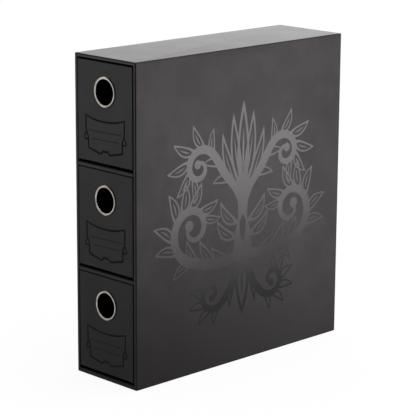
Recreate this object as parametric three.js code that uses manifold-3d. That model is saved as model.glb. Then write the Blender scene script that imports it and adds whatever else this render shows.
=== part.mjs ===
// A box of three drawers for trading cards, made of greyboard covered in black paper.
// Millimetres, +Z up. The drawers open towards -Y. The origin is the middle of the underside.
import * as THREE from "three";
import { mergeVertices } from "three/addons/utils/BufferGeometryUtils.js";
import Module from "manifold-3d";

const wasm = await Module();
wasm.setup();

// Case
const caseWidth = 86;
const caseDepth = 285;
const caseHeight = 318;
const drawerNames = ["bottom_drawer", "middle_drawer", "top_drawer"];
const shelfNames = ["lower_shelf", "upper_shelf"];
const boardThickness = 2.5;
const shelfThickness = 3.4;
const bottomThickness = 4;
const bayPitch = 104.3;
const paperThickness = 0.3;
const glueGap = 0.05;
const frontTurnIn = 15;
const backTurnOver = 12;
const backSheetInset = 1.5;

// Drawers
const faceProud = 0.2;
const faceSideGap = 1.3;
const faceBottomGap = 2.7;
const faceHeight = 97.1;
const trayBoard = 2;
const trayWidth = 76.6;
const trayUnderside = 2.7;
const trayHeight = 98.4;
const trayTurnIn = 9;
const runClearance = 0.3;
const backClearance = 0.5;

// Finger ring: an eyelet rolled over a washer behind the drawer's front
const fingerHoleRadius = 12.5;
const ringHeight = 71.7;
const ringWall = 0.6;
const frontLip = { width: 2.4, height: 0.8 };
const backLip = { width: 2.3, height: 0.8 };
const washerRadius = 15.6;
const washerThickness = 0.5;
const holeClearance = 0.2;
const roundSteps = 40;
const lipSteps = 5;

// How far a cutting block runs past what it cuts, and how close two points are to be one
const past = 1;
const weldDistance = 1e-4;

// Sizes of the case that follow from those
const layer = paperThickness + glueGap;
const wallStack = layer + boardThickness + layer;
const shelfStack = layer + shelfThickness + layer;
const bottomStack = layer + bottomThickness + layer;
const overallDepth = caseDepth + faceProud + glueGap + frontLip.height;
const frontY = overallDepth / 2 - caseDepth;
const backY = overallDepth / 2;
const outerHalf = caseWidth / 2;
const bayHalf = outerHalf - wallStack;
const sheetEnd = backY - layer;
const boardsEnd = sheetEnd - layer;
const backBoardFront = boardsEnd - boardThickness;

// Sizes of a drawer, in its own frame: y = 0 at the case's front edge, z = 0 on the bay's floor
const face = {
  half: bayHalf - faceSideGap,
  bottom: faceBottomGap,
  top: faceBottomGap + faceHeight,
  front: -faceProud,
  boardFront: layer - faceProud,
  back: layer - faceProud + boardThickness,
};
const tray = {
  half: trayWidth / 2,
  front: face.back + glueGap,
  back: backBoardFront - frontY - backClearance,
  bottom: runClearance,
  underside: trayUnderside,
  top: trayHeight,
};
const trayBoards = {
  outerHalf: tray.half - layer,
  innerHalf: tray.half - layer - trayBoard,
  front: tray.front + layer,
  back: tray.back - layer,
  top: tray.top - layer,
};
const trayInside = {
  half: trayBoards.innerHalf - layer,
  front: trayBoards.front + trayBoard + layer,
  back: trayBoards.back - trayBoard - layer,
};
const boardHoleRadius = fingerHoleRadius + ringWall + holeClearance;

const blackPaper = new THREE.MeshStandardMaterial({ color: 0x2d2c2d, roughness: 0.55, metalness: 0 });
const blackBoard = new THREE.MeshStandardMaterial({ color: 0x242324, roughness: 0.7, metalness: 0 });
const nickel = new THREE.MeshStandardMaterial({ color: 0xc9c2b8, roughness: 0.25, metalness: 1 });

function named(name, geometry, material) {
  const mesh = new THREE.Mesh(geometry, material);
  mesh.name = name;
  return mesh;
}

// A block between two corners, [x, y, z] each. Its faces lie exactly where the corners say, so that
// cuts that share a face stay clean.
function block(low, high) {
  const geometry = new THREE.BoxGeometry(2, 2, 2);
  const positions = geometry.attributes.position.array;
  positions.forEach((side, i) => {
    positions[i] = side > 0 ? high[i % 3] : low[i % 3];
  });
  return geometry;
}

// A block as wide to the left as to the right.
function wideBlock(half, [y0, y1], [z0, z1]) {
  return block([-half, y0, z0], [half, y1, z1]);
}

// A shape drawn in x and z, pushed back along +Y from y0 to y1.
function pushBack(shape, [y0, y1]) {
  const geometry = new THREE.ExtrudeGeometry(shape, {
    depth: y1 - y0,
    bevelEnabled: false,
    curveSegments: roundSteps,
  });
  return geometry.rotateX(Math.PI / 2).translate(0, y1, 0);
}

// A plate standing in x and z, with a round hole on its middle line.
function holedPlate(half, [y0, y1], [z0, z1], hole) {
  const shape = new THREE.Shape();
  shape.moveTo(-half, z0);
  shape.lineTo(half, z0);
  shape.lineTo(half, z1);
  shape.lineTo(-half, z1);
  shape.closePath();
  shape.holes.push(new THREE.Path().absarc(0, hole.z, hole.radius, 0, 2 * Math.PI, true));
  return pushBack(shape, [y0, y1]);
}

// A ring turned about the y axis from [radius, y] points.
function turned(profile) {
  const closed = [...profile, profile[0]];
  return new THREE.LatheGeometry(
    closed.map(([radius, y]) => new THREE.Vector2(radius, y)),
    roundSteps,
  );
}

function solidOf(geometry) {
  const bare = geometry.clone();
  bare.deleteAttribute("normal");
  bare.deleteAttribute("uv");
  const merged = mergeVertices(bare, weldDistance);
  return new wasm.Manifold(
    new wasm.Mesh({
      numProp: 3,
      vertProperties: merged.attributes.position.array,
      triVerts: new Uint32Array(merged.index.array),
    }),
  );
}

function geometryOf(solid) {
  const mesh = solid.getMesh();
  const geometry = new THREE.BufferGeometry();
  geometry.setAttribute("position", new THREE.BufferAttribute(mesh.vertProperties, 3));
  geometry.setIndex(new THREE.BufferAttribute(mesh.triVerts, 1));
  geometry.computeVertexNormals();
  return geometry;
}

function cut(first, ...others) {
  return geometryOf(others.reduce((rest, geometry) => rest.subtract(solidOf(geometry)), solidOf(first)));
}

// The paper round both sides and the top, folded in at the front edges and over at the back.
function caseWrap() {
  const ceiling = caseHeight - wallStack;
  const boardsFront = frontY + paperThickness;
  const boardsBack = sheetEnd - paperThickness;
  const solid = wideBlock(outerHalf, [frontY, sheetEnd], [layer, caseHeight]);
  const inside = wideBlock(bayHalf, [frontY - past, boardsBack], [-past, ceiling]);
  const backWindow = wideBlock(
    outerHalf - backTurnOver,
    [boardsBack - past, sheetEnd + past],
    [-past, caseHeight - backTurnOver],
  );
  const boardSpace = wideBlock(
    outerHalf - paperThickness,
    [boardsFront, boardsBack],
    [-past, caseHeight - paperThickness],
  );
  const fold = wideBlock(
    bayHalf + paperThickness,
    [boardsFront, frontY + frontTurnIn],
    [bottomStack + glueGap, ceiling + paperThickness],
  );
  return cut(solid, inside, backWindow, cut(boardSpace, cut(fold, inside)));
}

// The paper folded round a shelf's or the bottom board's front edge, with room inside for the board.
function edgeCover([z0, z1], [space0, space1]) {
  const outside = wideBlock(bayHalf - glueGap, [frontY, backBoardFront - glueGap], [z0, z1]);
  const inside = wideBlock(outerHalf, [frontY + paperThickness, backY], [space0, space1]);
  return cut(outside, inside);
}

function shelfCover(bottom) {
  const top = bottom + shelfStack;
  return edgeCover([bottom, top], [bottom + paperThickness, top - paperThickness]);
}

function shelfBoard(bottom) {
  return wideBlock(
    bayHalf - glueGap,
    [frontY + layer, backBoardFront - glueGap],
    [bottom + layer, bottom + layer + shelfThickness],
  );
}

function backSheet() {
  return wideBlock(
    outerHalf - backSheetInset,
    [backY - paperThickness, backY],
    [backSheetInset, caseHeight - backSheetInset],
  );
}

function buildCase() {
  const group = new THREE.Group();
  const add = (name, geometry, material) => group.add(named(name, geometry, material));
  const sideOuter = outerHalf - layer;
  const sideInner = sideOuter - boardThickness;
  const betweenSides = sideInner - glueGap;
  const length = [frontY + layer, boardsEnd];
  const top = caseHeight - layer;
  const topUnderside = top - boardThickness;
  const bottomUpside = layer + bottomThickness;
  add("left_board", block([-sideOuter, length[0], layer], [-sideInner, length[1], top]), blackBoard);
  add("right_board", block([sideInner, length[0], layer], [sideOuter, length[1], top]), blackBoard);
  add("top_board", wideBlock(betweenSides, length, [topUnderside, top]), blackBoard);
  add("bottom_board", wideBlock(betweenSides, length, [layer, bottomUpside]), blackBoard);
  add(
    "back_board",
    wideBlock(betweenSides, [backBoardFront, boardsEnd], [bottomUpside + glueGap, topUnderside - glueGap]),
    blackBoard,
  );
  shelfNames.forEach((name, i) => {
    const bottom = bottomStack + (i + 1) * bayPitch - shelfStack;
    add(name + "_board", shelfBoard(bottom), blackBoard);
    add(name + "_cover", shelfCover(bottom), blackPaper);
  });
  add("bottom_cover", edgeCover([layer, bottomStack], [0, bottomStack - paperThickness]), blackPaper);
  add("case_wrap", caseWrap(), blackPaper);
  add("base_sheet", wideBlock(outerHalf, [frontY, sheetEnd], [0, paperThickness]), blackPaper);
  add("back_sheet", backSheet(), blackPaper);
  return group;
}

// The paper over the drawer's face panel, folded back round its four edges.
function faceCover() {
  const hole = { z: ringHeight, radius: boardHoleRadius };
  const outside = holedPlate(face.half, [face.front, face.back], [face.bottom, face.top], hole);
  const inside = wideBlock(
    face.half - paperThickness,
    [face.front + paperThickness, face.back + past],
    [face.bottom + paperThickness, face.top - paperThickness],
  );
  return cut(outside, inside);
}

// The paper round the tray's four walls, folded in over their top edges, with the finger hole cut.
function trayWrap() {
  const { half, front, back, bottom, top } = tray;
  const insideY = [trayInside.front, trayInside.back];
  const solid = wideBlock(half, [front, back], [bottom, top]);
  const inside = wideBlock(trayInside.half, insideY, [-past, top + past]);
  const boardSpace = wideBlock(
    half - paperThickness,
    [front + paperThickness, back - paperThickness],
    [-past, top - paperThickness],
  );
  const fold = wideBlock(
    trayInside.half + paperThickness,
    [insideY[0] - paperThickness, insideY[1] + paperThickness],
    [top - trayTurnIn, top],
  );
  const underTheEnds = wideBlock(trayBoards.innerHalf, [front - past, back + past], [-past, tray.underside]);
  const fingerHole = turned([
    [0, front - past],
    [boardHoleRadius, front - past],
    [boardHoleRadius, front + past],
    [0, front + past],
  ]).translate(0, 0, ringHeight);
  return cut(solid, inside, cut(boardSpace, cut(fold, inside)), underTheEnds, fingerHole);
}

// The eyelet's section, y = 0 at the face's front and growing backwards: a rounded lip in front,
// a tube through the boards and a lip rolled out over the washer behind them.
function ringProfile(washerBack) {
  const points = [];
  for (let i = 0; i <= lipSteps; i++) {
    const angle = (Math.PI * i) / lipSteps;
    const radius = fingerHoleRadius + (frontLip.width / 2) * (1 - Math.cos(angle));
    points.push([radius, -glueGap - frontLip.height * Math.sin(angle)]);
  }
  const rollStart = washerBack + glueGap;
  points.push([fingerHoleRadius + ringWall, -glueGap]);
  points.push([fingerHoleRadius + ringWall, rollStart]);
  for (let i = 0; i <= lipSteps; i++) {
    const angle = (Math.PI * i) / lipSteps;
    const radius = fingerHoleRadius + (backLip.width / 2) * (1 + Math.cos(angle));
    points.push([radius, rollStart + backLip.height * Math.sin(angle)]);
  }
  return points;
}

function addFingerRing(add) {
  const washerFront = trayBoards.front + trayBoard + glueGap - face.front;
  const washerBack = washerFront + washerThickness;
  const washerInner = fingerHoleRadius + ringWall + glueGap;
  const washer = turned([
    [washerInner, washerFront],
    [washerRadius, washerFront],
    [washerRadius, washerBack],
    [washerInner, washerBack],
  ]);
  add("finger_ring", turned(ringProfile(washerBack)).translate(0, face.front, ringHeight), nickel);
  add("ring_washer", washer.translate(0, face.front, ringHeight), nickel);
}

function addTray(add) {
  const { outerHalf: outer, innerHalf: inner, front, back, top } = trayBoards;
  const between = inner - glueGap;
  const frontBack = front + trayBoard;
  const rearFront = back - trayBoard;
  const hole = { z: ringHeight, radius: boardHoleRadius };
  const { underside } = tray;
  const endHeight = [underside, top];
  add("left_board", block([-outer, front, tray.bottom], [-inner, back, top]), blackBoard);
  add("right_board", block([inner, front, tray.bottom], [outer, back, top]), blackBoard);
  add("front_board", holedPlate(between, [front, frontBack], endHeight, hole), blackBoard);
  add("back_board", wideBlock(between, [rearFront, back], endHeight), blackBoard);
  add(
    "bottom_board",
    wideBlock(between, [frontBack + glueGap, rearFront - glueGap], [underside, underside + trayBoard]),
    blackBoard,
  );
  add("tray_wrap", trayWrap(), blackPaper);
}

function addFace(add) {
  const hole = { z: ringHeight, radius: boardHoleRadius };
  const height = [face.bottom + layer, face.top - layer];
  add("face_cover", faceCover(), blackPaper);
  add("face_board", holedPlate(face.half - layer, [face.boardFront, face.back], height, hole), blackBoard);
}

function buildDrawer(name) {
  const group = new THREE.Group();
  const add = (piece, geometry, material) => group.add(named(name + "_" + piece, geometry, material));
  addFace(add);
  addTray(add);
  addFingerRing(add);
  return group;
}

const drawerBox = new THREE.Group();
drawerBox.add(buildCase());
drawerNames.forEach((name, i) => {
  const drawer = buildDrawer(name);
  drawer.position.set(0, frontY, bottomStack + i * bayPitch);
  drawerBox.add(drawer);
});

export default drawerBox;
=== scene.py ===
import math

import bmesh
import bpy
from mathutils import Matrix, Vector


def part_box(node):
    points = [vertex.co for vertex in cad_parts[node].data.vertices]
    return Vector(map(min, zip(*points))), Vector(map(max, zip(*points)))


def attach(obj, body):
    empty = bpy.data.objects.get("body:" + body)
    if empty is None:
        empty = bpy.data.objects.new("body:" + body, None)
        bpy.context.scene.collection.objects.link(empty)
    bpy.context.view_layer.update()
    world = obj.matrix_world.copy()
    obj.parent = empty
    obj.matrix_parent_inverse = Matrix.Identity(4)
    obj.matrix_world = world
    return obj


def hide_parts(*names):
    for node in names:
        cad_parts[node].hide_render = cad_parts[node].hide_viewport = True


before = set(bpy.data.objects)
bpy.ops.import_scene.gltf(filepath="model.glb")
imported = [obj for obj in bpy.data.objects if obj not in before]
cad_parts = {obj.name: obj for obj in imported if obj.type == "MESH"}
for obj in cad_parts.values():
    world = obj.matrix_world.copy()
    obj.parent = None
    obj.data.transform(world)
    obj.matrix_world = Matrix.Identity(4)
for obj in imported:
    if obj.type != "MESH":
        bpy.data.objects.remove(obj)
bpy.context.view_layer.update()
mm = 0.001  # lengths below are in millimetres, apart from those whose note says metres
drawerNames = ["bottom_drawer", "middle_drawer", "top_drawer"]
print("frame loaded:", len(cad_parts), "nodes")


# Shader nodes

class Wire:
    # one output socket, with the sums that a material needs
    def __init__(self, graph, socket):
        self.graph = graph
        self.socket = socket

    def sum(self, operation, *values):
        return self.graph.add("ShaderNodeMath", {"operation": operation}, dict(enumerate(values)))

    def __add__(self, other):
        return self.sum("ADD", self, other)

    def __sub__(self, other):
        return self.sum("SUBTRACT", self, other)

    def __mul__(self, other):
        return self.sum("MULTIPLY", self, other)

    def __truediv__(self, other):
        return self.sum("DIVIDE", self, other)

    def __rsub__(self, other):
        return self.sum("SUBTRACT", other, self)

    __radd__ = __add__
    __rmul__ = __mul__

    def size(self):
        return self.sum("ABSOLUTE", self)

    def root(self):
        return self.sum("SQRT", self)

    def lowest(self, other):
        return self.sum("MINIMUM", self, other)

    def highest(self, other):
        return self.sum("MAXIMUM", self, other)

    def ramp(self, start, end, low=0.0, high=1.0):
        # low at start, high at end, eased and held outside
        settings = {"interpolation_type": "SMOOTHSTEP"}
        sockets = {"Value": self, "From Min": start, "From Max": end, "To Min": low, "To Max": high}
        return self.graph.add("ShaderNodeMapRange", settings, sockets)

    def span(self, start, end, low=0.0, high=1.0):
        # a ramp between two lengths in millimetres
        return self.ramp(start * mm, end * mm, low, high)

    def tint(self, first, second):
        # a colour between two, by this value
        sockets = {"Factor": self, 6: first, 7: second}
        return self.graph.add("ShaderNodeMix", {"data_type": "RGBA"}, sockets, 2)

    def parts(self):
        split = self.graph.node("ShaderNodeSeparateXYZ", {}, {"Vector": self})
        return [Wire(self.graph, socket) for socket in split.outputs]


class Graph:
    # the nodes of one material or world, cleared first
    def __init__(self, owner):
        owner.use_nodes = True
        self.tree = owner.node_tree
        self.tree.nodes.clear()

    def node(self, kind, settings=None, sockets=None):
        made = self.tree.nodes.new(kind)
        for name, value in (settings or {}).items():
            setattr(made, name, value)
        for name, value in (sockets or {}).items():
            if isinstance(value, Wire):
                self.tree.links.new(value.socket, made.inputs[name])
            else:
                made.inputs[name].default_value = value
        return made

    def add(self, kind, settings=None, sockets=None, output=0):
        return Wire(self, self.node(kind, settings, sockets).outputs[output])

    def noise(self, place, scale, detail=3.0, roughness=0.5, stretch=None):
        if stretch:
            place = self.add("ShaderNodeMapping", {}, {"Vector": place, "Scale": stretch})
        sockets = {"Vector": place, "Scale": scale, "Detail": detail, "Roughness": roughness}
        return self.add("ShaderNodeTexNoise", {}, sockets)

    def bump(self, height, strength, distance):
        sockets = {"Height": height, "Strength": strength, "Distance": distance * mm}
        return self.add("ShaderNodeBump", {}, sockets)

    def place(self):
        return self.add("ShaderNodeTexCoord", output=3)

    def finish(self, sockets):
        shader = self.add("ShaderNodeBsdfPrincipled", {}, sockets)
        self.node("ShaderNodeOutputMaterial", {}, {"Surface": shader})


# Finishes

coverPaper = {
    "base": (0.0240, 0.0168, 0.0186, 1),
    # painted shade: the darker colour that the paper turns to low down
    "lowShadedBase": (0.0092, 0.0069, 0.0077, 1),
    "frontBase": (0.0215, 0.0205, 0.0208, 1),
    "cloud": (0.0450, 0.0360, 0.0378, 1),
    # rubbed edges: partly wear, and darker with painted shade along the rounded edges
    "rubbed": (0.0030, 0.0030, 0.0031, 1),
    "roughness": 0.55,
    "film": (0.14, 1.0),  # how much of the soft film is left, low down and high up
    "filmRoughness": 0.36,
    "shadedAndWornBelow": (-10, 285),  # heights between which the darker part below ends: painted shade in its colour, and less film left on it
    "slope": 0.3,  # and it ends lower towards the back
    "edgeWearAndShade": (1.25, 0.72, 0.95),  # how far the rubbed edges, darker with painted shade, reach in from each side
    "longEdgeWearAndShade": 0.8,  # the edges that run from front to back are rubbed and shaded less
    "frontFilm": 0.25,  # less film is left on the front edges
    "backDull": 0.5,  # and on the sides towards the back
}
facePaper = {
    "base": (0.0152, 0.0152, 0.0154, 1),
    # painted shade: the darker colour that the paper turns to low down
    "lowShadedBase": (0.0060, 0.0060, 0.0062, 1),
    "frontBase": (0.0152, 0.0152, 0.0154, 1),
    "cloud": (0.0195, 0.0195, 0.0197, 1),
    # rubbed edges: partly wear, and darker with painted shade along the rounded edges
    "rubbed": (0.0045, 0.0045, 0.0046, 1),
    "roughness": 0.55,
    "film": (0.04, 0.32),
    "filmRoughness": 0.40,
    "shadedAndWornBelow": (-80, 420),
    "slope": 0.0,
    "edgeWearAndShade": (0.45, 0.5, 0.4),
    "longEdgeWearAndShade": 1.0,
    "frontFilm": 1.0,
    "backDull": 0.0,
}
trayPaper = {
    "base": (0.0120, 0.0120, 0.0124, 1),
    # painted shade: the darker colour that the paper turns to low down
    "lowShadedBase": (0.0110, 0.0110, 0.0114, 1),
    "frontBase": (0.0120, 0.0120, 0.0124, 1),
    "cloud": (0.0180, 0.0178, 0.0180, 1),
    # rubbed edges: partly wear, and darker with painted shade along the rounded edges
    "rubbed": (0.0060, 0.0060, 0.0060, 1),
    "roughness": 0.55,
    "film": (0.30, 0.35),
    "filmRoughness": 0.45,
    "shadedAndWornBelow": (0, 300),
    "slope": 0.0,
    "edgeWearAndShade": (0.8, 0.8, 0.8),
    "longEdgeWearAndShade": 1.0,
    "frontFilm": 1.0,
    "backDull": 0.0,
}
paperTexture = {
    "clouds": (14, 4, 0.55),  # scale, detail and roughness of each noise
    "mottle": (34, 3, 0.55),
    "smudges": (70, 5, 0.6),
    "grain": (2600, 2, 0.6),
    "fibres": (900, 3, 0.6),
    "rubbing": (260, 3, 0.6),
    "shares": (0.45, 0.45, 0.1),  # of clouds, mottle and smudges in the colour
    "relief": (0.22, 0.05),  # strength and height of the grain and fibres
    "frontEdge": (0.5, 1.5),  # depths over which the front edges' look ends
    "backPart": (150, 320),  # depths over which the sides get duller
    "sidePart": (1.0, 0.3),  # distances inside the outer sides over which their look begins
}


def paperFinish(name, look, boxes):
    # black paper under a soft film: fine grain and a few cloudy smudges; darker low down, which is painted
    # shade, with less film left there; and edges rubbed bare, and darker with painted shade
    made = bpy.data.materials.new(name)
    graph = Graph(made)
    place = graph.place()
    x, y, z = place.parts()
    clouds = graph.noise(place, *paperTexture["clouds"]).ramp(0.35, 0.72)
    mottle = graph.noise(place, *paperTexture["mottle"]).ramp(0.35, 0.65)
    smudges = graph.noise(place, *paperTexture["smudges"], (1, 1, 0.6)).ramp(0.52, 0.75)
    grain = graph.noise(place, *paperTexture["grain"])
    fibres = graph.noise(place, *paperTexture["fibres"], (1, 0.35, 0.35))
    frontEdge = paperTexture["frontEdge"]
    deep = y - boxes[0][0].y * mm
    # painted shade: the colour darkens low down, and less film is left there
    paintedShadeAndGlossRise = (z + deep * look["slope"]).span(*look["shadedAndWornBelow"])
    plain = paintedShadeAndGlossRise.tint(look["lowShadedBase"], deep.span(*frontEdge).tint(look["frontBase"], look["base"]))
    shares = paperTexture["shares"]
    uneven = clouds * shares[0] + mottle * shares[1] + smudges * shares[2]
    mottled = (uneven * paintedShadeAndGlossRise).tint(plain, look["cloud"])
    edges = None
    for low, high in boxes:
        # how near a point is to two of a box's outer planes at once
        gaps = []
        for value, a, b, reach in zip((x, y, z), low, high, look["edgeWearAndShade"]):
            gap = (value - a * mm).size().lowest((value - b * mm).size())
            gaps.append(gap.span(reach * 0.7, reach * 1.3, 1.0, 0.0))
        near = (gaps[0] * gaps[1]).highest(gaps[0] * gaps[2] * look["longEdgeWearAndShade"]).highest(gaps[1] * gaps[2])
        edges = near if edges is None else edges.highest(near)
    # the rubbed edges: bare of film, and darker with painted shade
    worn = edges * graph.noise(place, *paperTexture["rubbing"]).ramp(0.2, 0.6, 0.85, 1.0)
    lowFilm, highFilm = look["film"]
    film = (paintedShadeAndGlossRise * (highFilm - lowFilm) + lowFilm) * deep.span(*frontEdge, look["frontFilm"], 1.0)
    if look["backDull"]:
        side = x.size().span(*[boxes[0][1].x - room for room in paperTexture["sidePart"]])
        film = film * (1 - side * deep.span(*paperTexture["backPart"]) * look["backDull"])
    graph.finish({
        "Base Color": worn.tint(mottled, look["rubbed"]),
        "Roughness": clouds * 0.05 + (look["roughness"] - 0.02),
        "Specular IOR Level": 0.1,
        "Coat Weight": film * (mottle * 0.06 + 0.94) * (1 - worn),
        "Coat Roughness": look["filmRoughness"],
        "Normal": graph.bump(grain * 0.7 + fibres * 0.3, *paperTexture["relief"]),
    })
    return made


boardTexture = {
    "fibres": (700, 4, 0.65, (1, 0.25, 1)),  # scale, detail, roughness and stretch of each noise
    "flecks": (1500, 2, 0.5),
    "clouds": (30, 3),
    "shares": (0.4, 0.3, 0.3),  # of fibres, clouds and flecks in the colour
    "relief": (0.4, 0.08),
}


def boardFinish(name, base, fleck):
    # black-dyed greyboard: matt, fibrous, with paler flecks
    made = bpy.data.materials.new(name)
    graph = Graph(made)
    place = graph.place()
    fibres = graph.noise(place, *boardTexture["fibres"])
    flecks = graph.noise(place, *boardTexture["flecks"]).ramp(0.62, 0.75)
    clouds = graph.noise(place, *boardTexture["clouds"]).ramp(0.3, 0.7)
    shares = boardTexture["shares"]
    tone = (fibres * shares[0] + clouds * shares[1] + flecks * shares[2]).tint(base, fleck)
    graph.finish({
        "Base Color": tone,
        "Roughness": fibres * 0.15 + 0.70,
        "Specular IOR Level": 0.3,
        "Normal": graph.bump(fibres, *boardTexture["relief"]),
    })
    return made


nickel = {
    "low": (0.335, 0.298, 0.265, 1),
    "high": (0.56, 0.512, 0.462, 1),
    # painted shade: the colour of the darkened bore, outer slope and lower rings
    "paintedShade": (0.020, 0.019, 0.018, 1),
    "rim": (13.85, 14.05),  # radii over which painted shade covers the outer slope on the right
    "leftRim": (14.35, 14.55),  # and on the left
    "rightWay": (0.99, -0.1),  # where the middle of that painted shade lies, rightwards and up
    "leftWay": (-0.9, 0.45),
    "rightTurn": (-0.1, 0.5),  # how squarely a spot lies that way where the painted shade begins, and where full
    "leftTurn": (0.4, 0.7),
    "rimDepth": (0.2, 0.6),  # depths behind the face's front over which that ends
    "bore": (12.8, 13.1),  # radii over which the painted shade in the bore ends
    "boreDepth": (-0.45, -0.15),  # and depths over which it begins
    "lowShadeHeights": (150, 270),  # heights between which the rings get darker with painted shade
    "lowShadeStrength": 0.24,
    "lowShadeReach": 1.3,  # full low shade would widen the painted shade on the left by this
    "film": (160, 3),  # scale and detail of the warm film's noise
    "marks": (1800, 2, 0.5, (1, 6, 1)),
    "relief": (0.06, 0.02),
}


def nickelFinish(name, look, rings):
    # plated steel, polished by fingers, with fine turning marks and a warm film; painted shade in the bore,
    # on the outer slope and on the lower rings
    made = bpy.data.materials.new(name)
    graph = Graph(made)
    place = graph.place()
    x, y, z = place.parts()
    pitch = rings["pitch"] * mm
    start = rings["first"] * mm - pitch / 2
    up = graph.add("ShaderNodeMath", {"operation": "FLOORED_MODULO"}, {0: z - start, 1: pitch}) - pitch / 2
    reach = (x * x + up * up).root()
    deep = y - rings["front"] * mm
    bore = deep.span(*look["boreDepth"]) * reach.span(*look["bore"], 1.0, 0.0)
    lowShade = z.span(*look["lowShadeHeights"], look["lowShadeStrength"], 0.0)
    (rightX, rightUp), (leftX, leftUp) = look["rightWay"], look["leftWay"]
    rightward = ((x * rightX + up * rightUp) / reach).ramp(*look["rightTurn"])
    leftward = ((x * leftX + up * leftUp) / reach).ramp(*look["leftTurn"])
    leftReach = reach + lowShade * (look["lowShadeReach"] * mm)
    rim = (rightward * reach.span(*look["rim"])).highest(leftward * leftReach.span(*look["leftRim"]))
    # painted shade: the bore, the outer slope and the lower rings darkened
    paintedShade = bore.highest(rim * deep.span(*look["rimDepth"], 1.0, 0.0)).highest(lowShade)
    film = graph.noise(place, *look["film"]).ramp(0.3, 0.7)
    marks = graph.noise(place, *look["marks"])
    graph.finish({
        "Base Color": paintedShade.tint(film.tint(look["low"], look["high"]), look["paintedShade"]),
        "Metallic": 1.0,
        "Roughness": film * 0.06 + marks * 0.05 + 0.15,
        "Normal": graph.bump(marks, *look["relief"]),
    })
    return made


varnish = {
    # painted reflection: the varnish's lighter colour high up and darker colour low down
    "paintedReflectionAbove": (0.1720, 0.1610, 0.1635, 1),
    "paintedShadeBelow": (0.0044, 0.0036, 0.0038, 1),
    "fade": (65, 250),  # heights between which the one turns into the other
    "drift": 30,  # how far the fade wanders up and down
    "gloss": (0.24, 1.0),
    "roughness": 0.26,
    "ripple": (220, 3),  # scale and detail of the noises for the ripple and the drift
    "wander": (25, 3),
    "relief": (0.10, 0.05),
}


def varnishFinish(name, look):
    # clear spot varnish, with painted reflection: lighter above and darker below; it has a fine ripple
    made = bpy.data.materials.new(name)
    graph = Graph(made)
    place = graph.place()
    ripple = graph.noise(place, *look["ripple"])
    drift = graph.noise(place, *look["wander"])
    height = place.parts()[2] + drift * (look["drift"] * mm)
    # painted reflection: lighter colour higher up, darker lower down, with the gloss rising too
    paintedShadeAndGlossRise = height.span(*look["fade"])
    lowGloss, highGloss = look["gloss"]
    graph.finish({
        "Base Color": paintedShadeAndGlossRise.tint(look["paintedShadeBelow"], look["paintedReflectionAbove"]),
        "Roughness": ripple * 0.08 + drift * 0.06 + 0.40,
        "Specular IOR Level": 0.1,
        "Coat Weight": paintedShadeAndGlossRise * (highGloss - lowGloss) + lowGloss,
        "Coat Roughness": look["roughness"],
        "Normal": graph.bump(ripple, *look["relief"]),
    })
    return made


frameReflectionLook = {
    # painted reflection: the dark colour of the frame lines
    "paintedReflection": (0.0022, 0.0022, 0.0023, 1),
    "worn": (0.0090, 0.0090, 0.0092, 1),
    "lowPaleness": 0.28,  # the lines are paler on the lowest drawer
    "lowPart": (70, 120),  # heights over which that ends
    "ripple": (500, 3),  # scale and detail of each noise
    "rubbing": (45, 2),
    "rubbed": 0.55,  # how much is rubbed off where the rubbing is strongest
    "relief": (0.08, 0.04),
}


def frameReflectionFinish(name, look):
    # the frames on the drawer faces: a smooth dark colour, which is painted reflection, rubbed paler in
    # places and paler low down
    made = bpy.data.materials.new(name)
    graph = Graph(made)
    place = graph.place()
    ripple = graph.noise(place, *look["ripple"])
    rubbed = graph.noise(place, *look["rubbing"]).ramp(0.42, 0.70, 0.0, look["rubbed"]) + ripple * 0.1
    rubbed = rubbed + place.parts()[2].span(*look["lowPart"], look["lowPaleness"], 0.0)
    graph.finish({
        # painted reflection: the lines' dark colour
        "Base Color": rubbed.tint(look["paintedReflection"], look["worn"]),
        "Roughness": ripple * 0.10 + 0.50,
        "Specular IOR Level": 0.04,
        "Normal": graph.bump(ripple, *look["relief"]),
    })
    return made


# Modelling

def boxOf(node):
    low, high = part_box(node)
    return low / mm, high / mm


def toObjectMode():
    if bpy.context.mode != "OBJECT":
        bpy.ops.object.mode_set(mode="OBJECT")
    bpy.ops.object.select_all(action="DESELECT")


def take(piece):
    toObjectMode()
    piece.select_set(True)
    bpy.context.view_layer.objects.active = piece


def edit(piece):
    take(piece)
    bpy.ops.object.mode_set(mode="EDIT")


def addBlock(name, low, high):
    # a block between two corners, left in edit mode
    toObjectMode()
    centre = [(a + b) / 2 * mm for a, b in zip(low, high)]
    bpy.ops.mesh.primitive_cube_add(size=1, location=centre)
    piece = bpy.context.object
    piece.name = name
    piece.scale = [(b - a) * mm for a, b in zip(low, high)]
    bpy.ops.object.transform_apply(location=True, rotation=True, scale=True)
    bpy.ops.object.mode_set(mode="EDIT")
    return piece


def pick(kind, test, rims=False):
    # selects the faces, edges or points whose place (mm) and direction pass the test; of the edges
    # only those at a hole, where rims is set
    bpy.ops.mesh.select_mode(type=kind)
    bpy.ops.mesh.select_all(action="DESELECT")
    mesh = bpy.context.object.data
    shape = bmesh.from_edit_mesh(mesh)
    for part in {"VERT": shape.verts, "EDGE": shape.edges, "FACE": shape.faces}[kind]:
        if kind == "FACE":
            spot, way = part.calc_center_median(), part.normal
        elif kind == "EDGE":
            first, last = (point.co for point in part.verts)
            spot, way = (first + last) / 2, (last - first).normalized()
        else:
            spot, way = part.co, part.normal
        if rims and len(part.link_faces) > 1:
            continue
        if test(spot / mm, way):
            part.select_set(True)
    shape.select_flush_mode()
    bmesh.update_edit_mesh(mesh)


def same(a, b, reach=0.01):
    return abs(a - b) < reach


def drop(kind="FACE"):
    bpy.ops.mesh.delete(type=kind)


def bevel(radius, segments):
    bpy.ops.mesh.bevel(offset=radius * mm, segments=segments, profile=0.5, affect="EDGES")


def inset(thickness):
    bpy.ops.mesh.inset(thickness=thickness * mm, use_even_offset=True)


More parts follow.
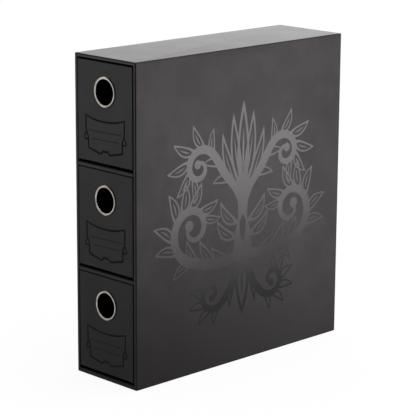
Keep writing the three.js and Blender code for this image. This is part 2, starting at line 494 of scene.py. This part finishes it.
def extrude(x=0, y=0, z=0):
    bpy.ops.mesh.extrude_region_move(TRANSFORM_OT_translate={"value": (x * mm, y * mm, z * mm)})


def move(x=0, y=0, z=0):
    bpy.ops.transform.translate(value=(x * mm, y * mm, z * mm))


def cutByPlane(test, place, way):
    # cuts the faces that pass the test by a plane, without taking anything away
    pick("FACE", test)
    bpy.ops.mesh.bisect(plane_co=[v * mm for v in place], plane_no=way)


def thicken(piece, thickness):
    # gives a sheet its thickness, inwards
    take(piece)
    wall = piece.modifiers.new("wall", "SOLIDIFY")
    wall.thickness = thickness * mm
    wall.offset = -1
    wall.use_even_offset = True
    bpy.ops.object.modifier_apply(modifier=wall.name)


def tidyMesh(piece):
    # joins points that fell together and turns every face outward
    edit(piece)
    bpy.ops.mesh.select_all(action="SELECT")
    bpy.ops.mesh.remove_doubles(threshold=0.002 * mm)
    bpy.ops.mesh.normals_make_consistent(inside=False)
    bpy.ops.object.mode_set(mode="OBJECT")


def settle(piece, body, finish, nodes=(), angle=35):
    take(piece)
    bpy.ops.object.shade_smooth_by_angle(angle=math.radians(angle))
    piece.data.materials.clear()
    piece.data.materials.append(finish)
    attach(piece, body)
    if nodes:
        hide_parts(*nodes)
    toObjectMode()


def copyUp(piece, name, lift):
    # a copy with its own mesh, higher up
    take(piece)
    bpy.ops.object.duplicate(linked=False)
    made = bpy.context.object
    made.name = name
    bpy.ops.transform.translate(value=(0, 0, lift * mm))
    bpy.ops.object.transform_apply(location=True, rotation=True, scale=True)
    return made


# Case

wrap = {
    "varnishRoom": 0.07,  # how far the paper lies inside the solid's sides and top, under the varnish
    "paper": 0.3,
    "glue": 0.05,
    "outerRadius": 0.6,
    "innerRadius": 0.4,
    "bottomSag": 0.04,  # how far the lower edge reaches into the gap under it
    "bottomCurl": [(0.08, 0.22), (0.22, 0.13)],  # inwards and down, step by step
    "turnIn": 15,
    "turnOver": 12,
}


def makeWrap():
    low, high = boxOf("case_wrap")
    layer = wrap["paper"] + wrap["glue"]
    half = boxOf("right_board")[0].x - layer
    ceiling = boxOf("top_board")[0].z - layer
    side = high.x - wrap["varnishRoom"]
    top = high.z - wrap["varnishRoom"]
    front, back = low.y, high.y
    over = wrap["turnOver"]
    curl = wrap["bottomCurl"]
    bottom = low.z - wrap["bottomSag"] + sum(step[1] for step in curl)
    piece = addBlock("wrap_paper", (-side, front, bottom), (side, back, top))

    def facesFront(p, n):
        return n.y < -0.9

    def facesBack(p, n):
        return n.y > 0.9

    for end in (1, -1):
        cutByPlane(facesFront, (end * half, 0, 0), (1, 0, 0))
    cutByPlane(facesFront, (0, 0, ceiling), (0, 0, 1))
    pick("FACE", lambda p, n: facesFront(p, n) and abs(p.x) < half and p.z < ceiling)
    extrude(y=wrap["turnIn"])
    drop()
    for end in (-1, 1):
        cutByPlane(facesBack, (end * (side - over), 0, 0), (1, 0, 0))
    cutByPlane(facesBack, (0, 0, top - over), (0, 0, 1))
    pick("FACE", lambda p, n: facesBack(p, n) and abs(p.x) < side - over and p.z < top - over)
    drop()
    pick("FACE", lambda p, n: same(p.z, bottom))
    drop()

    def outerEdge(p, d):
        planes = [same(abs(p.x), side), same(p.y, front), same(p.y, back), same(p.z, top)]
        return sum(planes) > 1

    def openingEdge(p, d):
        around = same(abs(p.x), half) or same(p.z, ceiling) and abs(p.x) < half
        return around and same(p.y, front) and p.z > bottom + 0.1

    def lowerEdge(p, d):
        outside = abs(p.x) > side - 1 or p.y > back - 1 or p.y < front + 1 and abs(p.x) > half + 0.5
        return outside and same(p.z, bottom)

    pick("EDGE", outerEdge)
    bevel(wrap["outerRadius"], 5)
    pick("EDGE", openingEdge)
    bevel(wrap["innerRadius"], 3)
    # the lower edge curls in towards the base
    pick("EDGE", lowerEdge)
    for pull, fall in curl:
        extrude()
        grow = (1 - pull / side, 1 - pull / back, 1)
        bpy.ops.transform.resize(value=grow, center_override=(0, 0, bottom * mm))
        move(z=-fall)
    tidyMesh(piece)
    thicken(piece, wrap["paper"])
    tidyMesh(piece)
    settle(piece, "case", wrapPaper, ["case_wrap"], 50)


sheet = {
    "backFlap": 10.5,  # how much turned-over paper lies under the back sheet's edges
    "baseFlap": 11.5,  # and under the base sheet's
    "basePull": 0.6,  # how far the base sheet stops short of the case's edges
    "sink": 0.14,  # how deep its middle sinks, and over what width
    "slope": 1.2,
    "cornerRadius": 1.2,
    "edgeRadius": 0.12,
}


def makeSheet(name, node, pull, way, flap):
    # a pasted sheet with soft edges, sunk a little where no turned-over paper lies under it
    low, high = boxOf(node)
    low = Vector(a + b for a, b in zip(low, pull))
    high = Vector(a - b for a, b in zip(high, pull))
    piece = addBlock(name, low, high)
    axis = 1 if way[1] else 2
    outside = high[axis] if way[axis] > 0 else low[axis]
    pick("FACE", lambda p, n: n.dot(Vector(way)) > 0.9)
    inset(flap)
    inset(sheet["slope"])
    move(*[-sheet["sink"] * v for v in way])
    pick("EDGE", lambda p, d: abs(d[axis]) > 0.9)
    bevel(sheet["cornerRadius"], 3)
    cross = 3 - axis
    rim = sheet["cornerRadius"] + 0.1

    def outerEdge(p, d):
        near = [high.x - abs(p.x), abs(p[cross] - low[cross]), abs(p[cross] - high[cross])]
        return same(p[axis], outside) and min(near) < rim

    pick("EDGE", outerEdge)
    bevel(sheet["edgeRadius"], 2)
    tidyMesh(piece)
    settle(piece, "case", wrapPaper, [node], 30)


def makeEdgeCover(name, node):
    # paper folded round a board's front edge, open at the ends and the back
    low, high = boxOf(node)
    piece = addBlock(name, low, high)
    pick("FACE", lambda p, n: abs(n.x) > 0.9 or n.y > 0.9)
    drop()
    pick("EDGE", lambda p, d: same(p.y, low.y))
    bevel(wrap["innerRadius"], 3)
    thicken(piece, wrap["paper"])
    tidyMesh(piece)
    settle(piece, "case", shelfPaper, [node], 50)


# Drawers

face = {
    "cornerRadius": 0.8,
    "frontRadius": 0.5,
    "dishRadii": [17.0, 16.4, 15.8, 15.2, 14.4],
    "dishSteps": [0.15, 0.35, 0.35, 0.15, 0.0],  # shares of the dish's depth, ring by ring
    "dishDepth": 0.14,  # the seat that the ring presses into the paper
    "margin": 0.12,  # width of the strip left between the rounded edge and the new front
    "paper": 0.3,
}
eyelet = {
    "bore": 12.5,
    "wall": 0.6,
    "holeRoom": 0.2,
    "lip": 2.4,
    "lipHeight": 0.6,
    "innerRound": 0.35,
    "outerRound": 0.5,
    "crown": 0.06,
    "roll": 2.3,
    "rollHeight": 0.8,
    "gap": 0.05,
    "steps": 96,
    "washerRound": 0.15,
}


def addRing(radius, centre, y):
    bpy.ops.mesh.primitive_circle_add(
        vertices=eyelet["steps"], radius=radius * mm, fill_type="NOTHING",
        location=(0, y * mm, centre * mm), rotation=(math.radians(90), 0, 0))


def stepIn(before, after, centre, y, deeper):
    # carries the picked ring on to another radius and depth
    extrude()
    grow = after / before
    bpy.ops.transform.resize(value=(grow, 1, grow), center_override=(0, y * mm, centre * mm))
    move(y=deeper)


def makeFaceCover(name, drawer):
    low, high = boxOf(drawer + "_face_cover")
    ringLow, ringHigh = boxOf(drawer + "_finger_ring")
    centre = (ringLow.z + ringHigh.z) / 2
    hole = eyelet["bore"] + eyelet["wall"] + eyelet["holeRoom"]
    front = low.y
    piece = addBlock(name, low, high)
    pick("FACE", lambda p, n: n.y > 0.9)
    drop()
    pick("EDGE", lambda p, d: abs(d.y) > 0.9)
    bevel(face["cornerRadius"], 4)
    pick("EDGE", lambda p, d: same(p.y, front))
    bevel(face["frontRadius"], 4)
    pick("FACE", lambda p, n: n.y < -0.99 and abs(p.x) < 1)
    inset(face["margin"])
    drop("ONLY_FACE")
    radii = [*face["dishRadii"], hole]
    addRing(radii[0], centre, front)
    pick("EDGE", lambda p, d: same(p.y, front, 0.002), rims=True)
    bpy.ops.mesh.fill(use_beauty=True)
    # from the dish's edge down to the hole
    pick("EDGE", lambda p, d: same(math.hypot(p.x, p.z - centre), radii[0], 0.1) and abs(d.y) < 0.1)
    for before, after, share in zip(radii, radii[1:], face["dishSteps"]):
        stepIn(before, after, centre, front, share * face["dishDepth"])
    tidyMesh(piece)
    thicken(piece, face["paper"])
    return piece


def traceAndSpin(name, points, centre, y):
    # draws a section point by point, (radius, depth) each, and spins it round the finger hole
    toObjectMode()
    start = points[0]
    bpy.ops.mesh.primitive_plane_add(size=mm, location=(start[0] * mm, (y + start[1]) * mm, centre * mm))
    piece = bpy.context.object
    piece.name = name
    bpy.ops.object.transform_apply(location=True, rotation=True, scale=True)
    bpy.ops.object.mode_set(mode="EDIT")
    bpy.ops.mesh.select_mode(type="VERT")
    bpy.ops.mesh.select_all(action="SELECT")
    bpy.ops.mesh.merge(type="CENTER")
    for before, after in zip(points, points[1:]):
        extrude(x=after[0] - before[0], y=after[1] - before[1])

    def isEnd(p, n):
        ends = (start, points[-1])
        return any(same(p.x, end[0], 0.001) and same(p.y, y + end[1], 0.001) for end in ends)

    pick("VERT", isEnd)
    bpy.ops.mesh.edge_face_add()
    bpy.ops.mesh.select_all(action="SELECT")
    bpy.ops.mesh.spin(steps=eyelet["steps"], angle=2 * math.pi, center=(0, 0, centre * mm), axis=(0, 1, 0))
    tidyMesh(piece)
    return piece


def arc(centre, radii, start, end, steps):
    points = []
    for i in range(steps + 1):
        angle = math.radians(start + (end - start) * i / steps)
        points.append((centre[0] + radii[0] * math.cos(angle), centre[1] + radii[1] * math.sin(angle)))
    return points


def makeEyelet(name, drawer):
    low, high = boxOf(drawer + "_finger_ring")
    faceFront = boxOf(drawer + "_face_cover")[0].y
    centre = (low.z + high.z) / 2
    bore, lip, roll = eyelet["bore"], eyelet["lip"], eyelet["roll"]
    depth = high.y - faceFront - eyelet["rollHeight"]
    tube = bore + eyelet["wall"]
    # front lip from the bore over to its outer rim, then under it to the tube's outside
    inner, outer = eyelet["innerRound"], eyelet["outerRound"]
    height, gap = eyelet["lipHeight"], eyelet["gap"]
    points = arc((bore + inner, inner - height), (inner, -inner), 180, 90, 6)
    points += arc((bore + lip - outer, -gap), (outer, eyelet["crown"] + gap - height), 90, 0, 8)
    points += [(bore + lip - 0.12, 0.02), (bore + lip - 0.5, 0.0), (tube + 0.1, 0.0), (tube, 0.1)]
    points += [(tube, depth - 0.02)]
    points += arc((bore + roll / 2, depth), (roll / 2, eyelet["rollHeight"]), 0, 180, 12)
    return traceAndSpin(name, points, centre, faceFront)


def makeWasher(name, drawer):
    low, high = boxOf(drawer + "_ring_washer")
    centre = (low.z + high.z) / 2
    inner = eyelet["bore"] + eyelet["wall"] + eyelet["gap"]
    outer = high.x
    thick = high.y - low.y
    soft = eyelet["washerRound"]
    points = arc((inner + soft, soft), (soft, soft), 180, 270, 3)
    points += arc((outer - soft, soft), (soft, soft), 270, 360, 3)
    points += arc((outer - soft, thick - soft), (soft, soft), 0, 90, 3)
    points += arc((inner + soft, thick - soft), (soft, soft), 90, 180, 3)
    return traceAndSpin(name, points, centre, low.y)


tray = {
    "cornerRadius": 0.9,
    "rimRadius": 0.5,
    "paper": 0.3,
    "turnIn": 9,
}


def makeTrayWrap(name, drawer):
    low, high = boxOf(drawer + "_tray_wrap")
    boardLow = boxOf(drawer + "_right_board")[0]
    ringLow, ringHigh = boxOf(drawer + "_finger_ring")
    centre = (ringLow.z + ringHigh.z) / 2
    hole = eyelet["bore"] + eyelet["wall"] + eyelet["holeRoom"]
    inner = boardLow.x - wrap["paper"] - wrap["glue"]
    underside = boxOf(drawer + "_front_board")[0].z
    piece = addBlock(name, low, high)
    pick("FACE", lambda p, n: n.z < -0.9)
    drop()
    pick("EDGE", lambda p, d: abs(d.z) > 0.9)
    bevel(tray["cornerRadius"], 4)
    # the rim, and the paper turned in behind it
    middle = (low + high) / 2
    reach = high.y - middle.y
    wall = high.x - inner
    pick("FACE", lambda p, n: n.z > 0.9)
    extrude()
    shrink = (inner / high.x, (reach - wall) / reach, 1)
    bpy.ops.transform.resize(value=shrink, center_override=(0, middle.y * mm, high.z * mm))
    extrude(z=-tray["turnIn"])
    drop()

    def beyond(p, room):
        return abs(p.x) > high.x - room or abs(p.y - middle.y) > reach - room

    pick("EDGE", lambda p, d: same(p.z, high.z) and beyond(p, 0.5))
    bevel(tray["rimRadius"], 3)
    pick("EDGE", lambda p, d: same(p.z, high.z) and not beyond(p, wall - 0.4))
    bevel(tray["rimRadius"], 3)
    # the ends stop at the tray's underside, between the side boards that it runs on
    cuts = [((0, 0, underside), (0, 0, 1)), ((boardLow.x, 0, 0), (1, 0, 0)), ((-boardLow.x, 0, 0), (1, 0, 0))]
    for place, way in cuts:
        cutByPlane(lambda p, n: abs(n.y) > 0.99 and (same(p.y, low.y) or same(p.y, high.y)), place, way)
    pick("FACE", lambda p, n: abs(n.y) > 0.99 and p.z < underside and abs(p.x) < boardLow.x)
    drop()
    # the finger hole in the front wall
    pick("FACE", lambda p, n: n.y < -0.99 and same(p.y, low.y) and abs(p.x) < 1)
    drop("ONLY_FACE")
    addRing(hole, centre, low.y)

    def frontRim(p, d):
        return same(p.y, low.y, 0.002) and p.z > underside - 0.1 and abs(p.x) < boardLow.x + 0.1

    pick("EDGE", frontRim, rims=True)
    bpy.ops.mesh.fill(use_beauty=True)
    tidyMesh(piece)
    thicken(piece, tray["paper"])
    return piece


# Flat shapes, drawn as curves

lineSteps = 8  # points that a smooth line gets for each one given


def smoothLine(points, steps=lineSteps):
    # a line through the points, rounded between them
    def between(a, b, c, d, t):
        square = 2 * a - 5 * b + 4 * c - d
        cube = 3 * b - a - 3 * c + d
        return 0.5 * (2 * b + (c - a) * t + square * t * t + cube * t ** 3)

    line = []
    ends = [points[0], *points, points[-1]]
    for four in zip(ends, ends[1:], ends[2:], ends[3:]):
        for i in range(steps):
            line.append(tuple(between(*values, i / steps) for values in zip(*four)))
    return line + [points[-1]]


def ribbon(line, widths):
    # the outline of a stroke along a line, with widths spread evenly over it
    left, right = [], []
    count = len(line) - 1
    for i, (u, v) in enumerate(line):
        before, after = line[max(i - 1, 0)], line[min(i + 1, count)]
        along = Vector((after[0] - before[0], after[1] - before[1])).normalized()
        spot = i / count * (len(widths) - 1)
        k = min(int(spot), len(widths) - 2)
        half = (widths[k] + (widths[k + 1] - widths[k]) * (spot - k)) / 2
        left.append((u - along.y * half, v + along.x * half))
        right.append((u + along.y * half, v - along.x * half))
    return left + right[::-1]


def flatShape(name, outlines, depth):
    # outlines filled and given a depth, as a mesh; an outline inside another is a hole. It is drawn
    # a thousand times its size, and standUp makes it small.
    toObjectMode()
    curve = bpy.data.curves.new(name, "CURVE")
    curve.dimensions = "2D"
    curve.fill_mode = "BOTH"
    curve.extrude = depth / 2
    for outline in outlines:
        spline = curve.splines.new("POLY")
        spline.points.add(len(outline) - 1)
        for point, (u, v) in zip(spline.points, outline):
            point.co = (u, v, 0, 1)
        spline.use_cyclic_u = True
    piece = bpy.data.objects.new(name, curve)
    bpy.context.scene.collection.objects.link(piece)
    take(piece)
    bpy.ops.object.convert(target="MESH")
    piece = bpy.context.object
    edit(piece)
    bpy.ops.mesh.select_all(action="SELECT")
    bpy.ops.mesh.remove_doubles(threshold=0.0005)
    bpy.ops.mesh.normals_make_consistent(inside=False)
    bpy.ops.object.mode_set(mode="OBJECT")
    return piece


def joinShapes(name, shapes):
    # several flat shapes made one piece
    toObjectMode()
    for shape in shapes:
        shape.select_set(True)
    bpy.context.view_layer.objects.active = shapes[0]
    bpy.ops.object.join()
    piece = bpy.context.object
    piece.name = name
    return piece


def standUp(piece, turn, place):
    # turns a flat shape from the x-y plane to where it belongs, at its real size
    take(piece)
    piece.scale = (mm, mm, mm)
    piece.rotation_euler = [math.radians(v) for v in turn]
    piece.location = [v * mm for v in place]
    bpy.ops.object.transform_apply(location=True, rotation=True, scale=True)
    return piece


labelFrame = {
    "belowTop": 53.0,  # its upper corners, under the face's top
    "turn": -0.9,  # degrees
    "line": 1.9,
    "faintLine": 0.6,
    "depth": 0.05,
    "step": 0.005,  # strokes that cross lie at slightly different heights
}


def makeLabelFrame(name, drawer):
    low, high = boxOf(drawer + "_face_cover")
    wide, thin = labelFrame["line"], labelFrame["faintLine"]
    top = [(-27.4, 0.3), (-14, -2.9), (0, -3.8), (14, -2.9), (27.4, 0.3)]
    notch = [
        (-7.6, -35.0), (-5.4, -34.2), (-3.0, -31.9), (0, -32.5), (3.0, -31.9), (5.4, -34.2), (7.6, -35.0)]
    side = [(27.4, 1.0), (27.2, -8), (27.0, -14.5), (25.2, -18.2), (24.2, -21.5), (24.0, -31.6)]
    loop = [(26.6, -14.6), (28.4, -18.4), (29.6, -21.0), (28.6, -22.7), (26.4, -22.9), (24.4, -22.6)]
    strokes = [
        (smoothLine(top), [1.3, wide, wide, wide, 1.3]),
        ([(-24.0, -31.1), (-7.1, -34.9)], [wide, wide]),
        (smoothLine(notch), [wide, wide, 2.1, wide, wide]),
        ([(24.0, -31.1), (7.1, -34.9)], [wide, wide]),
        ([(-24, -13.9), (23.6, -13.7)], [thin, thin]),
        ([(-19, -21.6), (19, -21.4)], [thin, thin]),
    ]
    for way in (-1, 1):
        strokes.append((smoothLine([(way * u, v) for u, v in side]), [1.5, 2.0, 2.0, 1.8, wide, wide]))
        strokes.append((smoothLine([(way * u, v) for u, v in loop]), [1.0, 1.5, 1.5, 1.5, 1.2]))
    shapes = []
    for i, (line, widths) in enumerate(strokes):
        depth = labelFrame["depth"] + i % 5 * labelFrame["step"]
        shapes.append(flatShape("stroke", [ribbon(line, widths)], depth))
    piece = joinShapes(name, shapes)
    return standUp(piece, (90, labelFrame["turn"], 0), (0, low.y, high.z - labelFrame["belowTop"]))


ornament = {
    "centre": (1.0, 157.0),  # along y and up
    "depth": 0.10,
    "step": 0.0012,  # each motif lies a little lower than the one before, where they overlap
    "slotSpan": (0.16, 0.88),  # where a leaf's opening starts and ends, as shares of its length
    "veinSpan": (0.26, 0.72),
    "endLeaf": 0.74,  # how long the last leaf of a row is, against the middle one
    "leafSteps": 12,
    "leafForm": (0.8, 0.85),  # the first puts a leaf's widest part nearer its base, the second fills it out
}


def leaf(base, tip, width, bend=0.0, slot=0.0, vein=0.0):
    # a leaf from base to tip, its middle line bent sideways; slot is the share left open inside, and
    # vein the width of the one that stands in it
    base, tip = Vector(base), Vector(tip)
    along = tip - base
    across = Vector((-along.y, along.x)).normalized()
    steps = ornament["leafSteps"]
    widest, full = ornament["leafForm"]

    def outline(start, end, wide):
        left, right = [], []
        for i in range(steps + 1):
            t = start + (end - start) * i / steps
            middle = base + along * t + across * (bend * 4 * t * (1 - t))
            half = wide / 2 * abs(math.sin(math.pi * (i / steps) ** widest)) ** full
            left.append(tuple(middle + across * half))
            right.append(tuple(middle - across * half))
        return left + right[-2:0:-1]

    outlines = [outline(0, 1, width)]
    if slot:
        outlines.append(outline(*ornament["slotSpan"], width * slot))
    if vein:
        outlines.append(outline(*ornament["veinSpan"], vein))
    return outlines


def disc(centre, radius, steps=28):
    angles = [2 * math.pi * i / steps for i in range(steps)]
    return [(centre[0] + radius * math.cos(angle), centre[1] + radius * math.sin(angle)) for angle in angles]


def curlLine(lead, centre, radius, end, start, turn):
    # a line that leads into a curl: radii from radius to end, from the start angle through turn. The
    # curl's fourth point only gives the lead its direction.
    curl = []
    steps = 36
    for i in range(steps + 1):
        t = i / steps
        angle = math.radians(start + turn * t)
        reach = radius * (end / radius) ** t
        curl.append((centre[0] + reach * math.cos(angle), centre[1] + reach * math.sin(angle)))
    return smoothLine([*lead, curl[0], curl[3]])[:-lineSteps - 1] + curl


def stroke(line, widths, bulb):
    # a stroke along a line that ends in a bulb
    return [[ribbon(line, widths)], [disc(line[-1], bulb)]]


def leafRow(line, side, shares, length, width, slot=0.0, vein=0.0, lean=46):
    # leaves on one side of a line, at shares of its length, the middle ones longest
    leaves = []
    endLeaf = ornament["endLeaf"]
    for i, share in enumerate(shares):
        at = round(share * (len(line) - 1))
        base = Vector(line[at])
        along = (Vector(line[at + 1]) - Vector(line[at - 1])).normalized()
        turn = math.radians(side * lean)
        out = Vector((along.x * math.cos(turn) - along.y * math.sin(turn),
                      along.x * math.sin(turn) + along.y * math.cos(turn)))
        grow = endLeaf + (1 - endLeaf) * math.sin(math.pi * (i + 0.5) / len(shares))
        leaves.append(leaf(base, base + out * length * grow, width * grow, -side * width * 0.3, slot, vein))
    return leaves


def ornamentShapes():
    # a stem with three pairs of scrolls, a palmette of petals above it and leaves along the scrolls;
    # every motif is a list of outlines, and the right half is mirrored to the left
    wide = curlLine([(0, -40), (18, -49), (44, -49)], (68, -10), 32, 7, -74, 470)
    upper = curlLine([(0, 2), (10, 22), (26, 40)], (60, 49), 22, 5, 150, -450)
    lower = curlLine([(0, -42), (6, -60), (15, -77)], (43, -80), 19, 4.4, 212, 412)
    half = stroke(wide, [9, 11, 12, 11, 9.5, 8, 6.5, 5, 3.5], 5.5)
    half += leafRow(wide, -1, (0.28, 0.36, 0.43, 0.47, 0.51, 0.55, 0.59, 0.63, 0.67), 34, 12, 0.66, 1.6)
    half += leafRow(wide, 1, (0.14, 0.24, 0.33), 36, 12, 0.62, 1.6)
    half += stroke(upper, [8, 9, 10, 9, 7.5, 6, 4.5, 3.5], 4.4)
    half += leafRow(upper, 1, (0.40, 0.45, 0.50, 0.55, 0.60, 0.65), 33, 11, 0.66, 1.5)
    half += leafRow(upper, -1, (0.2, 0.32), 27, 10, 0.6)
    half += stroke(lower, [7, 8, 9, 8, 6.5, 5.5, 4.5, 3], 4)
    half += leafRow(lower, -1, (0.44, 0.49, 0.54, 0.59, 0.64, 0.69), 24, 9, 0.58)
    half += [
        # two petals of the palmette, and leaves at the stem
        leaf((1, 18), (14, 98), 14, -3, 0.62, 1.8),
        leaf((2, 16), (29, 80), 13, -5, 0.6, 1.6),
        leaf((6, -14), (31, 12), 12, -6, 0.6, 1.4),
        leaf((8, -28), (36, -6), 12, -6, 0.6, 1.4),
        leaf((2, -52), (18, -100), 10, 4, 0.5),
    ]
    shapes = []
    for outlines in half:
        shapes.append(outlines)
        shapes.append([[(-u, v) for u, v in outline] for outline in outlines])
    stem = [(0, 34), (0, 18), (0, 2), (0, -18), (0, -38), (0, -58)]
    shapes += [
        leaf((0, 16), (0, 109), 17, 0, 0.6, 3),
        [ribbon(smoothLine(stem, 6), [8, 16, 14, 12, 22, 26, 14]), leaf((0, -6), (0, -34), 9)[0]],
        leaf((0, -40), (0, -109), 20, 0, 0.6, 3),
    ]
    return shapes


def makeOrnament(name):
    shapes = [flatShape("motif", outlines, ornament["depth"] - i * ornament["step"])
              for i, outlines in enumerate(ornamentShapes())]
    return joinShapes(name, shapes)


# Build

caseBoxes = [boxOf("case_wrap")]
faceBoxes = [boxOf(name + "_face_cover") for name in drawerNames]
trayBoxes = [boxOf(name + "_tray_wrap") for name in drawerNames]
shelfBoxes = [boxOf(node) for node in ("bottom_cover", "lower_shelf_cover", "upper_shelf_cover")]
wrapPaper = paperFinish("wrap paper", coverPaper, caseBoxes)
shelfPaper = paperFinish("shelf paper", coverPaper, shelfBoxes)
drawerFacePaper = paperFinish("face paper", facePaper, faceBoxes)
drawerTrayPaper = paperFinish("tray paper", trayPaper, trayBoxes)
caseBoard = boardFinish("case board", (0.010, 0.010, 0.010, 1), (0.026, 0.025, 0.025, 1))
trayBoard = boardFinish("tray board", (0.012, 0.012, 0.012, 1), (0.030, 0.029, 0.029, 1))
ringBoxes = [boxOf(name + "_finger_ring") for name in drawerNames]
ringHeights = [(low.z + high.z) / 2 for low, high in ringBoxes]
ringNickel = nickelFinish("ring nickel", nickel, {
    "first": ringHeights[0],
    "pitch": ringHeights[1] - ringHeights[0],
    "front": faceBoxes[0][0].y,
})
sideVarnish = varnishFinish("side varnish", varnish)
frameReflection = frameReflectionFinish("frame painted reflection", frameReflectionLook)

makeWrap()
makeSheet("back_paper", "back_sheet", (0, 0, 0), (0, 1, 0), sheet["backFlap"])
basePull = (sheet["basePull"], sheet["basePull"], 0)
makeSheet("base_paper", "base_sheet", basePull, (0, 0, -1), sheet["baseFlap"])
makeEdgeCover("bottom_paper", "bottom_cover")
makeEdgeCover("lower_shelf_paper", "lower_shelf_cover")
makeEdgeCover("upper_shelf_paper", "upper_shelf_cover")
print("case paper done")

first = drawerNames[0]
bases = {name: boxOf(name + "_face_cover")[0].z for name in drawerNames}
patterns = {
    "face_paper": (makeFaceCover, "face_paper", drawerFacePaper, ["face_cover"], 40),
    "tray_paper": (makeTrayWrap, "tray_paper", drawerTrayPaper, ["tray_wrap"], 50),
    "eyelet": (makeEyelet, "nickel", ringNickel, ["finger_ring"], 50),
    "washer": (makeWasher, "nickel", ringNickel, ["ring_washer"], 50),
    "label_frame": (makeLabelFrame, "face_paper", frameReflection, [], 30),
}
for part, (maker, slot, finish, nodes, angle) in patterns.items():
    model = maker(first + "_" + part, first)
    pieces = {first: model}
    for name in drawerNames[1:]:
        pieces[name] = copyUp(model, name + "_" + part, bases[name] - bases[first])
    for name, piece in pieces.items():
        settle(piece, name, finish, [name + "_" + node for node in nodes], angle)
    print(part, "done")

right = makeOrnament("right_ornament")
take(right)
bpy.ops.object.duplicate(linked=False)
left = bpy.context.object
left.name = "left_ornament"
sideFace = boxOf("case_wrap")[1].x - ornament["depth"] / 2
along, up = ornament["centre"]
standUp(right, (90, 0, 90), (sideFace, along, up))
standUp(left, (90, 0, -90), (-sideFace, along, up))
for piece in (right, left):
    settle(piece, "case", sideVarnish, [], 30)
print("ornament done")

for name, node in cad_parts.items():
    if not node.hide_render:
        node.data.materials.clear()
        node.data.materials.append(trayBoard if "drawer" in name else caseBoard)
print("boards done")


# Floor, light and camera

studio = {
    "floorRadius": 30,  # metres
    "floorDrop": 0.0002,  # metres
    "floorTone": (0.89, 0.90),  # between which its white varies
    "floorGlow": 0.93,  # how much of the floor's white is its own
    "sunStrength": 2.0,
    "sunAngle": 60,
    "sunFrom": (0.35, 0.25, 1.0),
    "bright": 1.28,
    "dim": 0.15,
    "brightWay": (-0.62, 0.75, 0.22),
    "fade": (-0.35, 0.85),  # how squarely a ray faces that way where the tent is dim, and where bright
}


def makeFloor():
    toObjectMode()
    bpy.ops.mesh.primitive_circle_add(
        vertices=96, radius=studio["floorRadius"], fill_type="NGON", location=(0, 0, -studio["floorDrop"]))
    floor = bpy.context.object
    floor.name = "floor"
    bpy.ops.object.transform_apply(location=True)
    made = bpy.data.materials.new("floor")
    graph = Graph(made)
    place = graph.place()
    tone = graph.noise(place, 3, 2).ramp(0.3, 0.7, *studio["floorTone"])
    colour = graph.add("ShaderNodeCombineColor", {}, {"Red": tone, "Green": tone, "Blue": tone})
    shader = graph.add("ShaderNodeBsdfDiffuse", {}, {"Color": colour})
    # a plain white ground for the picture and for reflections, with the shadow left in it
    rays = graph.node("ShaderNodeLightPath")
    seen = Wire(graph, rays.outputs["Is Camera Ray"]) + Wire(graph, rays.outputs["Is Glossy Ray"])
    seen = (seen + Wire(graph, rays.outputs["Is Transmission Ray"])).lowest(1.0)
    glow = graph.add("ShaderNodeEmission", {}, {"Color": (1, 1, 1, 1), "Strength": 1.0})
    white = graph.add("ShaderNodeMixShader", {}, {0: seen * studio["floorGlow"], 1: shader, 2: glow})
    # seen from below it is clear, so that the underside can be looked at
    under = graph.add("ShaderNodeNewGeometry", output=6)
    clear = graph.add("ShaderNodeBsdfTransparent")
    mixed = graph.add("ShaderNodeMixShader", {}, {0: under, 1: white, 2: clear})
    graph.node("ShaderNodeOutputMaterial", {}, {"Surface": mixed})
    floor.data.materials.append(made)


def makeWorld():
    # a large soft tent of light: bright behind, dim on the drawers' side
    world = bpy.data.worlds.new("tent")
    bpy.context.scene.world = world
    graph = Graph(world)
    way = graph.add("ShaderNodeTexCoord", output=0)
    toward = Vector(studio["brightWay"]).normalized()
    facing = graph.add("ShaderNodeVectorMath", {"operation": "DOT_PRODUCT"}, {0: way, 1: toward}, 1)
    level = facing.ramp(*studio["fade"], studio["dim"], studio["bright"])
    light = graph.add("ShaderNodeBackground", {}, {"Color": (1, 1, 1, 1), "Strength": level})
    graph.node("ShaderNodeOutputWorld", {}, {"Surface": light})


def makeSun():
    # one wide, soft lamp from above, a little to the camera's right
    toObjectMode()
    bpy.ops.object.light_add(type="SUN")
    sun = bpy.context.object
    sun.data.energy = studio["sunStrength"]
    sun.data.angle = math.radians(studio["sunAngle"])
    sun.rotation_euler = Vector(studio["sunFrom"]).to_track_quat("Z", "Y").to_euler()


camera = {
    "place": (1.27549, -1.26255, 0.58405),  # metres
    "azimuth": 45.407,
    "elevation": 13.601,
    "roll": 0.3772,
    "lens": 158.505,
    "sensor": 36,
    "farthest": 100,  # metres
}


def makeCamera():
    toObjectMode()
    bpy.ops.object.camera_add()
    made = bpy.context.object
    made.data.sensor_width = camera["sensor"]
    made.data.lens = camera["lens"]
    made.data.clip_end = camera["farthest"]
    turn = Matrix.Rotation(math.radians(camera["azimuth"]), 4, "Z")
    tilt = Matrix.Rotation(math.radians(90 - camera["elevation"]), 4, "X")
    roll = Matrix.Rotation(math.radians(camera["roll"]), 4, "Z")
    made.matrix_world = Matrix.Translation(camera["place"]) @ turn @ tilt @ roll
    bpy.context.scene.camera = made


makeFloor()
makeWorld()
makeSun()
makeCamera()
bpy.context.scene.view_settings.view_transform = "Standard"
print("stage done")
